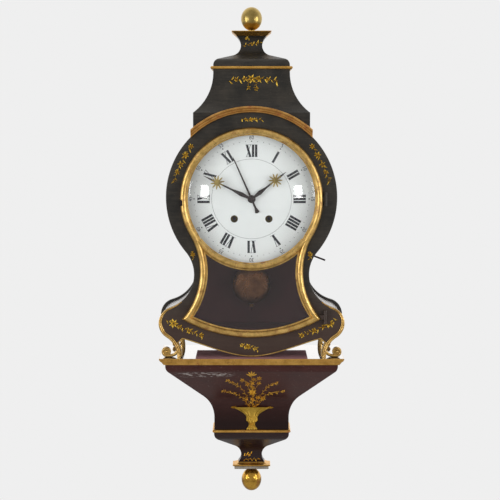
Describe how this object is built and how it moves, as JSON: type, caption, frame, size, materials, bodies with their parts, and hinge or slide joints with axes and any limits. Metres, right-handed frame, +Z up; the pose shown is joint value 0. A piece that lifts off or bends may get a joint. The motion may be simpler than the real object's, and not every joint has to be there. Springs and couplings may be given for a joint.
{
  "type": "neuchatel bracket clock",
  "caption": "Violin-shaped lacquered bracket clock with a lift-off cap, gilt glazed door, enamel dial, swinging pendulum and its own tapering wall bracket",
  "frame": {"origin": "On the wall face of the bracket's back board, on the centre line, 90 mm below the top of the shelf", "axes": "+X to the right seen from the front, +Y into the wall, +Z up; the dial faces -Y"},
  "size_m": [0.3634, 0.1886, 0.9675],
  "materials": {
    "black_lacquer": "greenish black lacquer, polished and a little worn",
    "brown_lacquer": "dark red-brown lacquer, glossy",
    "gilt_wood": "gilding over red ground, rubbed",
    "gilt_brass": "gilt brass, rubbed",
    "white_enamel": "fired white enamel on copper",
    "clear_glass": "clear",
    "brass": "satin",
    "dark_steel": "blued",
    "bell_metal": "turned",
    "bare_wood": "planed, unfinished"
  },
  "bodies": {
    "bracket": {"bracket_shelf": "brown_lacquer", "bracket_cornice": "gilt_wood", "bracket_front": "brown_lacquer", "bracket_side_left": "brown_lacquer", "bracket_side_right": "brown_lacquer", "bracket_back": "brown_lacquer", "bracket_astragal": "gilt_wood", "bracket_pendant": "brown_lacquer", "bracket_foot_plate": "gilt_wood", "bracket_ball": "gilt_wood"},
    "case": {"case_front": "black_lacquer", "case_back": "black_lacquer", "case_side_left": "black_lacquer", "case_side_right": "black_lacquer", "case_top": "black_lacquer", "case_bottom": "bare_wood", "foot_front_left": "gilt_brass", "foot_front_right": "gilt_brass", "foot_rear_left": "gilt_brass", "foot_rear_right": "gilt_brass", "dial": "white_enamel", "seat_board": "bare_wood", "front_plate": "brass", "back_plate": "brass", "back_cock": "brass", "bell_standard": "dark_steel", "bell": "bell_metal", "hinge_upper_case": "brass", "hinge_lower_case": "brass"},
    "cap": {"cap_body": "black_lacquer", "cap_arch_moulding": "gilt_wood", "cap_astragal": "gilt_wood", "cap_top_plate": "gilt_wood", "cap_ball": "gilt_wood"},
    "door": {"door_frame": "gilt_brass", "dial_glass": "clear_glass", "lower_glass": "clear_glass", "door_catch": "dark_steel", "hinge_upper_door": "brass", "hinge_lower_door": "brass"},
    "minute_set": {"minute_hand": "dark_steel", "cannon_pinion": "dark_steel", "hand_nut": "brass"},
    "hour_set": {"hour_hand": "dark_steel", "hour_wheel": "brass"},
    "minute_wheel_set": {"minute_wheel": "brass"},
    "alarm_set": {"alarm_hand": "dark_steel"},
    "third_set": {"third_wheel": "brass"},
    "centre_set": {"centre_wheel": "brass"},
    "going_barrel_set": {"going_barrel": "brass"},
    "escape_set": {"escape_wheel": "brass"},
    "going_winder": {"going_arbor": "dark_steel"},
    "strike_winder": {"strike_arbor": "dark_steel"},
    "strike_barrel_set": {"strike_barrel": "brass"},
    "pendulum": {"anchor": "dark_steel", "pendulum_rod": "dark_steel", "pendulum_bob": "brass", "rating_nut": "brass"},
    "hammer_set": {"hammer": "dark_steel"},
    "pull_set": {"pull_lever": "dark_steel"}
  },
  "joints": [
    {"name": "clock_lift", "type": "slide", "parent": "bracket", "child": "case", "axis": [0, 0, 1], "range_m": [0, 0.1]},
    {"name": "cap_lift", "type": "slide", "parent": "case", "child": "cap", "axis": [0, 0, 1], "range_m": [0, 0.06]},
    {"name": "door_hinge", "type": "hinge", "parent": "case", "child": "door", "pos_m": [0.1408, -0.1637, 0.394], "axis": [0, 0, 1], "range_deg": [0, 110]},
    {"name": "minute_turn", "type": "hinge", "parent": "case", "child": "minute_set", "pos_m": [0, -0.15, 0.394], "axis": [0, 1, 0], "continuous": true},
    {"name": "hour_turn", "type": "hinge", "parent": "case", "child": "hour_set", "pos_m": [0, -0.15, 0.394], "axis": [0, 1, 0], "continuous": true},
    {"name": "minute_wheel_turn", "type": "hinge", "parent": "case", "child": "minute_wheel_set", "pos_m": [0, -0.135, 0.4132], "axis": [0, 1, 0], "continuous": true},
    {"name": "alarm_turn", "type": "hinge", "parent": "case", "child": "alarm_set", "pos_m": [0, -0.15, 0.394], "axis": [0, 1, 0], "continuous": true},
    {"name": "third_turn", "type": "hinge", "parent": "case", "child": "third_set", "pos_m": [0.01909, -0.1, 0.41675], "axis": [0, 1, 0], "continuous": true},
    {"name": "centre_turn", "type": "hinge", "parent": "case", "child": "centre_set", "pos_m": [0, -0.1, 0.394], "axis": [0, 1, 0], "continuous": true},
    {"name": "going_barrel_turn", "type": "hinge", "parent": "case", "child": "going_barrel_set", "pos_m": [0.033, -0.11, 0.356], "axis": [0, 1, 0], "continuous": true},
    {"name": "escape_turn", "type": "hinge", "parent": "case", "child": "escape_set", "pos_m": [0, -0.1, 0.43366], "axis": [0, 1, 0], "continuous": true},
    {"name": "going_wind", "type": "hinge", "parent": "case", "child": "going_winder", "pos_m": [0.033, -0.13, 0.356], "axis": [0, 1, 0], "continuous": true},
    {"name": "strike_wind", "type": "hinge", "parent": "case", "child": "strike_winder", "pos_m": [-0.033, -0.13, 0.356], "axis": [0, 1, 0], "continuous": true},
    {"name": "strike_barrel_turn", "type": "hinge", "parent": "case", "child": "strike_barrel_set", "pos_m": [-0.033, -0.1, 0.356], "axis": [0, 1, 0], "continuous": true},
    {"name": "pendulum_swing", "type": "hinge", "parent": "case", "child": "pendulum", "pos_m": [0, -0.06, 0.464], "axis": [0, 1, 0], "range_deg": [-3, 3]},
    {"name": "hammer_swing", "type": "hinge", "parent": "case", "child": "hammer_set", "pos_m": [0.062, -0.103, 0.444], "axis": [0, 1, 0], "range_deg": [0, 8], "stiffness_Nm_per_rad": 0.05, "springref_deg": -5.73},
    {"name": "lever_pull", "type": "hinge", "parent": "case", "child": "pull_set", "pos_m": [0.05, -0.137, 0.322], "axis": [0, 1, 0], "range_deg": [0, 6], "stiffness_Nm_per_rad": 0.2, "springref_deg": -5.73}
  ],
  "couplings": [
    {"joint": "hour_turn", "follows": "minute_turn", "ratio": 0.083333},
    {"joint": "minute_wheel_turn", "follows": "minute_turn", "ratio": -0.33333},
    {"joint": "centre_turn", "follows": "third_turn", "ratio": -0.1},
    {"joint": "going_barrel_turn", "follows": "third_turn", "ratio": 0.016667},
    {"joint": "escape_turn", "follows": "third_turn", "ratio": -9}
  ]
}
